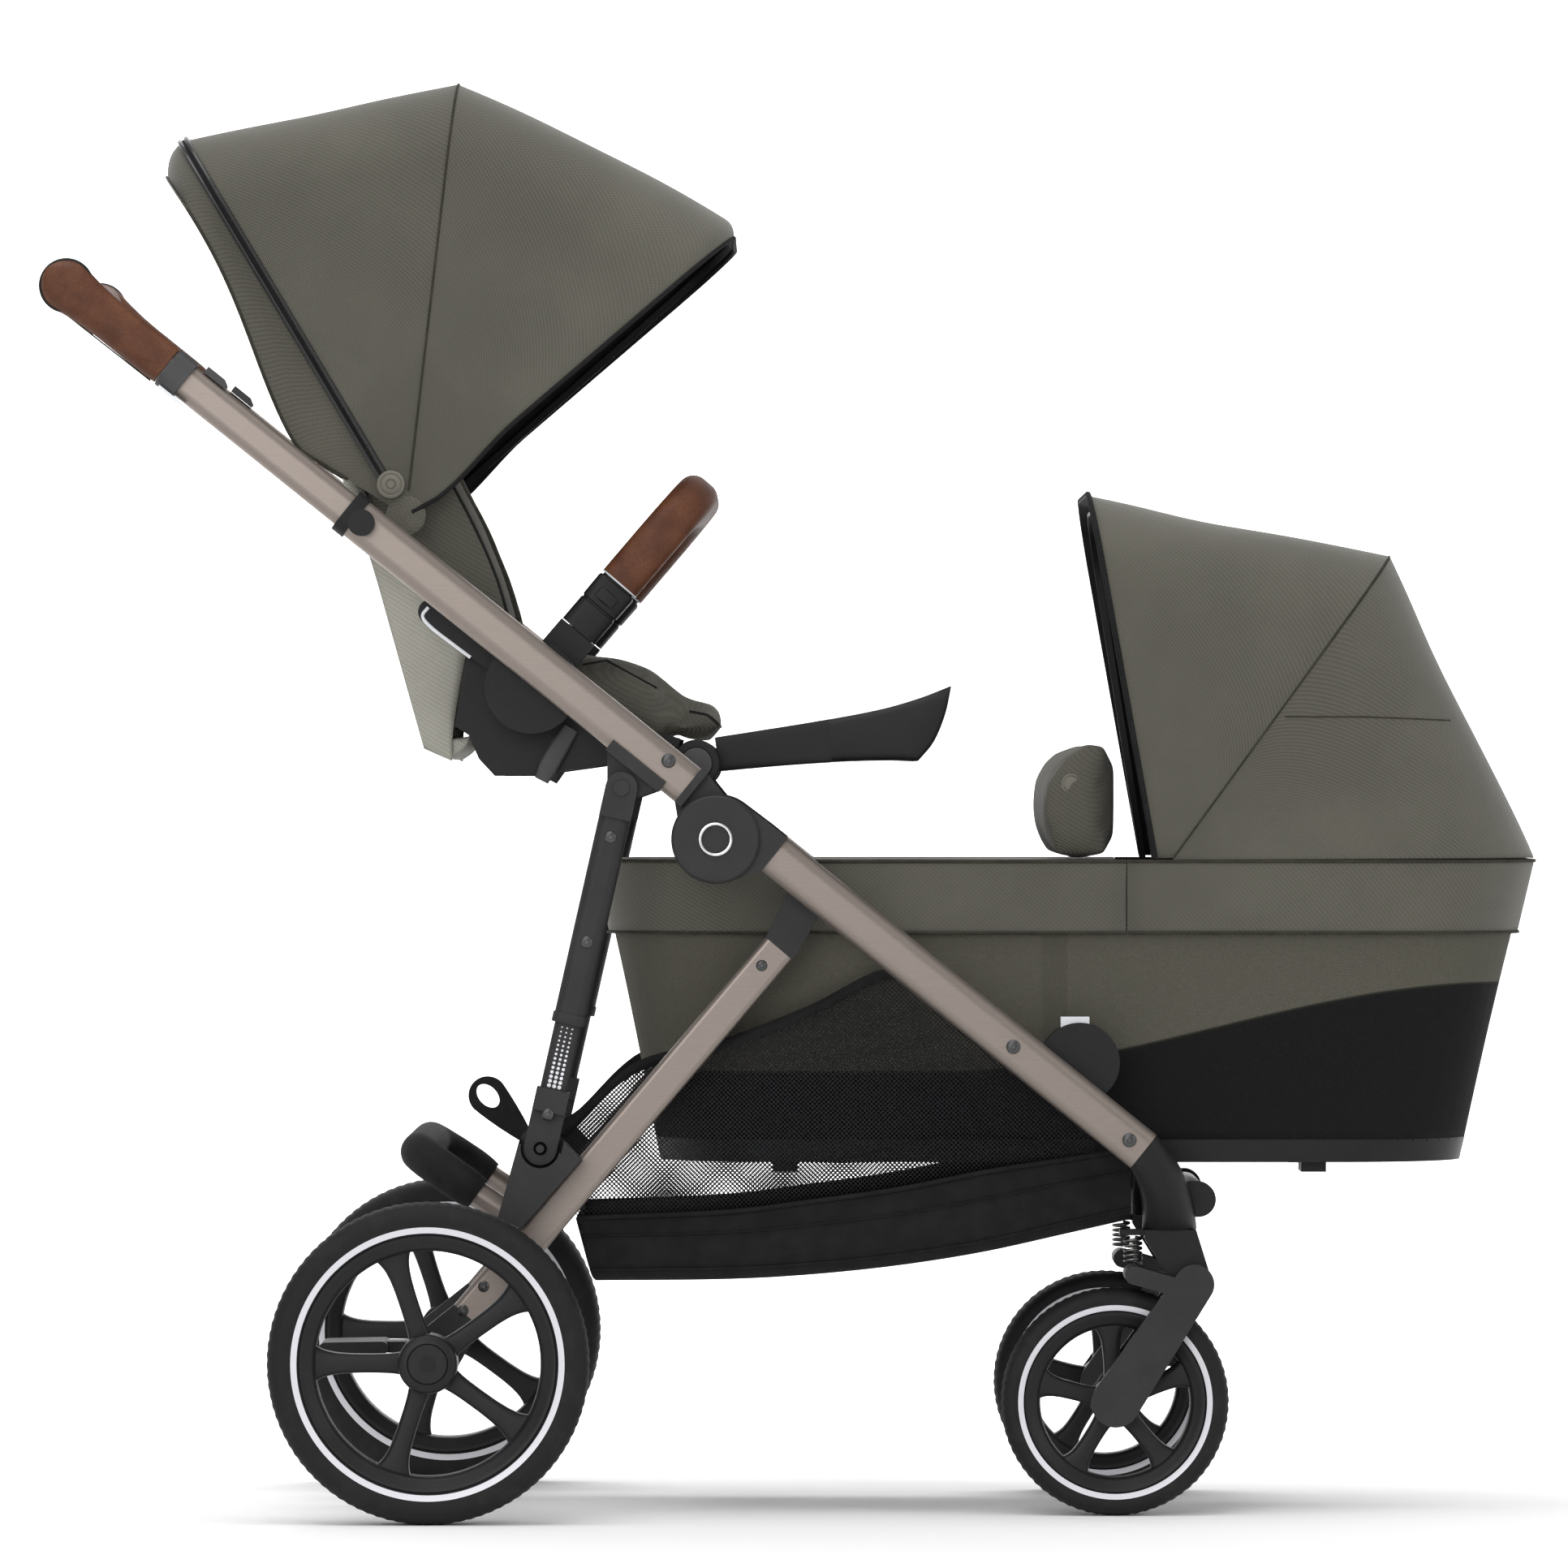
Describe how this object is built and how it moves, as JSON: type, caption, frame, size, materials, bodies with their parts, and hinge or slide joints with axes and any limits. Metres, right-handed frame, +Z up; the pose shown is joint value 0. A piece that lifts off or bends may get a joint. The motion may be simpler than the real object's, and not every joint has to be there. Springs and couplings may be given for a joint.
{
  "type": "baby stroller",
  "caption": "Folding tandem baby stroller with a canopied seat unit above, a hooded carrycot in front, a mesh basket below and swivelling sprung front wheels.",
  "frame": {"origin": "on the floor, at the middle of the stroller's bounding box seen from above", "axes": "+X forward, from the handle towards the front wheels; +Y to the stroller's left; +Z up"},
  "size_m": [1.3165, 0.642, 1.2616],
  "materials": {
    "satin_tube": "satin anodised taupe",
    "dark_plastic": "fine matt grain",
    "black_plastic": "matt",
    "steel": "satin",
    "leather": "brown leatherette with stitched seam",
    "olive_cloth": "twill weave",
    "black_cloth": "plain weave",
    "mesh_cloth": "open mesh",
    "button_white": "semi-gloss",
    "tyre": "matt tread",
    "wheel": "satin moulded"
  },
  "bodies": {
    "front_frame": {"front_tubes": "satin_tube", "fold_hubs": "dark_plastic", "hub_caps": "dark_plastic", "frame_fasteners": "steel", "front_castings": "dark_plastic", "front_cross_tube": "satin_tube", "cot_adapters": "dark_plastic", "cot_shell": "black_cloth", "cot_base": "black_plastic", "cot_mattress": "olive_cloth", "cot_apron": "olive_cloth", "cot_flap": "olive_cloth", "cot_hood_rear": "olive_cloth", "basket_tray": "black_cloth", "basket_mesh": "mesh_cloth"},
    "cot_buttons": {"cot_buttons": "button_white"},
    "cot_hood": {"cot_hood_bow": "steel", "cot_hood_front": "olive_cloth"},
    "upper_frame": {"upper_tubes": "satin_tube", "upper_hinges": "dark_plastic", "tube_clamps": "dark_plastic", "seat_adapters": "black_plastic", "seat_frame": "black_plastic", "seat_cushion": "olive_cloth"},
    "handle": {"handle_tube": "satin_tube", "handle_grip": "leather", "handle_collars": "dark_plastic"},
    "fold_sliders": {"fold_sliders": "dark_plastic"},
    "backrest": {"backrest_shell": "olive_cloth", "backrest_pad": "olive_cloth", "harness": "black_cloth", "canopy_rear": "olive_cloth"},
    "canopy_mid": {"canopy_mid_bow": "steel", "canopy_mid_panel": "olive_cloth"},
    "canopy_front": {"canopy_front_bow": "steel", "canopy_front_panel": "olive_cloth"},
    "bumper_bar": {"bumper_bar": "leather"},
    "footrest": {"footrest": "black_plastic"},
    "struts": {"strut_tubes": "black_plastic", "strut_feet": "dark_plastic"},
    "rear_frame": {"rear_legs": "satin_tube", "leg_brackets": "dark_plastic", "rear_axle": "steel", "rear_bow": "satin_tube", "rear_bow_pad": "dark_plastic"},
    "brake_pedal": {"brake_pedal": "black_plastic"},
    "rear_wheel_right": {"rear_tyre_right": "tyre", "rear_rim_right": "wheel"},
    "caster_right": {"caster_right": "dark_plastic", "caster_spring_right": "steel"},
    "fork_right": {"fork_right": "dark_plastic"},
    "front_wheel_right": {"front_tyre_right": "tyre", "front_rim_right": "wheel"},
    "rear_wheel_left": {"rear_tyre_left": "tyre", "rear_rim_left": "wheel"},
    "caster_left": {"caster_left": "dark_plastic", "caster_spring_left": "steel"},
    "fork_left": {"fork_left": "dark_plastic"},
    "front_wheel_left": {"front_tyre_left": "tyre", "front_rim_left": "wheel"}
  },
  "joints": [
    {"name": "frame_fold", "type": "hinge", "parent": "front_frame", "child": "upper_frame", "pos_m": [-0.0686, 0, 0.5948], "axis": [0, -1, 0], "range_deg": [0, 30]},
    {"name": "leg_fold", "type": "hinge", "parent": "front_frame", "child": "rear_frame", "pos_m": [0.01522, 0, 0.54999], "axis": [0, -1, 0], "range_deg": [0, 15.6]},
    {"name": "strut_fold", "type": "hinge", "parent": "upper_frame", "child": "struts", "pos_m": [-0.15098, 0, 0.63948], "axis": [0, -1, 0], "range_deg": [-15.6, 0]},
    {"name": "handle_height", "type": "slide", "parent": "upper_frame", "child": "handle", "axis": [0.7793, 0, -0.6266], "range_m": [0, 0.08]},
    {"name": "fold_release", "type": "slide", "parent": "handle", "child": "fold_sliders", "axis": [-0.7793, 0, 0.6266], "range_m": [0, 0.006], "stiffness_N_per_m": 1200, "springref_m": -0.003},
    {"name": "backrest_recline", "type": "hinge", "parent": "upper_frame", "child": "backrest", "pos_m": [-0.285, 0, 0.69], "axis": [0, -1, 0], "range_deg": [0, 7]},
    {"name": "canopy_mid_fold", "type": "hinge", "parent": "backrest", "child": "canopy_mid", "pos_m": [-0.341, 0, 0.879], "axis": [0, -1, 0], "range_deg": [0, 32], "deforming": ["canopy_mid_panel"]},
    {"name": "canopy_front_fold", "type": "hinge", "parent": "canopy_mid", "child": "canopy_front", "pos_m": [-0.341, 0, 0.879], "axis": [0, -1, 0], "range_deg": [0, 35], "deforming": ["canopy_front_panel"]},
    {"name": "bumper_pull_off", "type": "slide", "parent": "upper_frame", "child": "bumper_bar", "axis": [0.6494, 0, 0.7604], "range_m": [0, 0.05]},
    {"name": "footrest_tilt", "type": "hinge", "parent": "upper_frame", "child": "footrest", "pos_m": [-0.086, 0, 0.661], "axis": [0, 1, 0], "range_deg": [0, 22]},
    {"name": "cot_hood_fold", "type": "hinge", "parent": "front_frame", "child": "cot_hood", "pos_m": [0.32, 0, 0.56], "axis": [0, 1, 0], "range_deg": [0, 36], "deforming": ["cot_hood_front"]},
    {"name": "cot_release", "type": "slide", "parent": "front_frame", "child": "cot_buttons", "axis": [0, 0, -1], "range_m": [0, 0.004], "stiffness_N_per_m": 1500, "springref_m": -0.002},
    {"name": "brake_step", "type": "hinge", "parent": "rear_frame", "child": "brake_pedal", "pos_m": [-0.318, 0, 0.14], "axis": [0, -1, 0], "range_deg": [0, 12]},
    {"name": "rear_wheel_spin_right", "type": "hinge", "parent": "rear_frame", "child": "rear_wheel_right", "pos_m": [-0.318, -0.295, 0.14], "axis": [0, 1, 0], "continuous": true},
    {"name": "caster_swivel_right", "type": "hinge", "parent": "front_frame", "child": "caster_right", "pos_m": [0.33, -0.171, 0.2514], "axis": [0, 0, 1], "continuous": true},
    {"name": "suspension_right", "type": "hinge", "parent": "caster_right", "child": "fork_right", "pos_m": [0.351, -0.171, 0.204], "axis": [0, 1, 0], "range_deg": [0, 10], "stiffness_Nm_per_rad": 60, "springref_deg": -11.46, "deforming": ["caster_spring_right"]},
    {"name": "front_wheel_spin_right", "type": "hinge", "parent": "fork_right", "child": "front_wheel_right", "pos_m": [0.282, -0.171, 0.1], "axis": [0, 1, 0], "continuous": true},
    {"name": "rear_wheel_spin_left", "type": "hinge", "parent": "rear_frame", "child": "rear_wheel_left", "pos_m": [-0.318, 0.295, 0.14], "axis": [0, 1, 0], "continuous": true},
    {"name": "caster_swivel_left", "type": "hinge", "parent": "front_frame", "child": "caster_left", "pos_m": [0.33, 0.171, 0.2514], "axis": [0, 0, 1], "continuous": true},
    {"name": "suspension_left", "type": "hinge", "parent": "caster_left", "child": "fork_left", "pos_m": [0.351, 0.171, 0.204], "axis": [0, 1, 0], "range_deg": [0, 10], "stiffness_Nm_per_rad": 60, "springref_deg": -11.46, "deforming": ["caster_spring_left"]},
    {"name": "front_wheel_spin_left", "type": "hinge", "parent": "fork_left", "child": "front_wheel_left", "pos_m": [0.282, 0.171, 0.1], "axis": [0, 1, 0], "continuous": true}
  ],
  "couplings": [
    {"joint": "leg_fold", "follows": "frame_fold", "ratio": 0.515},
    {"joint": "strut_fold", "follows": "frame_fold", "ratio": -0.515},
    {"joint": "canopy_front_fold", "follows": "canopy_mid_fold", "ratio": 1.09}
  ]
}
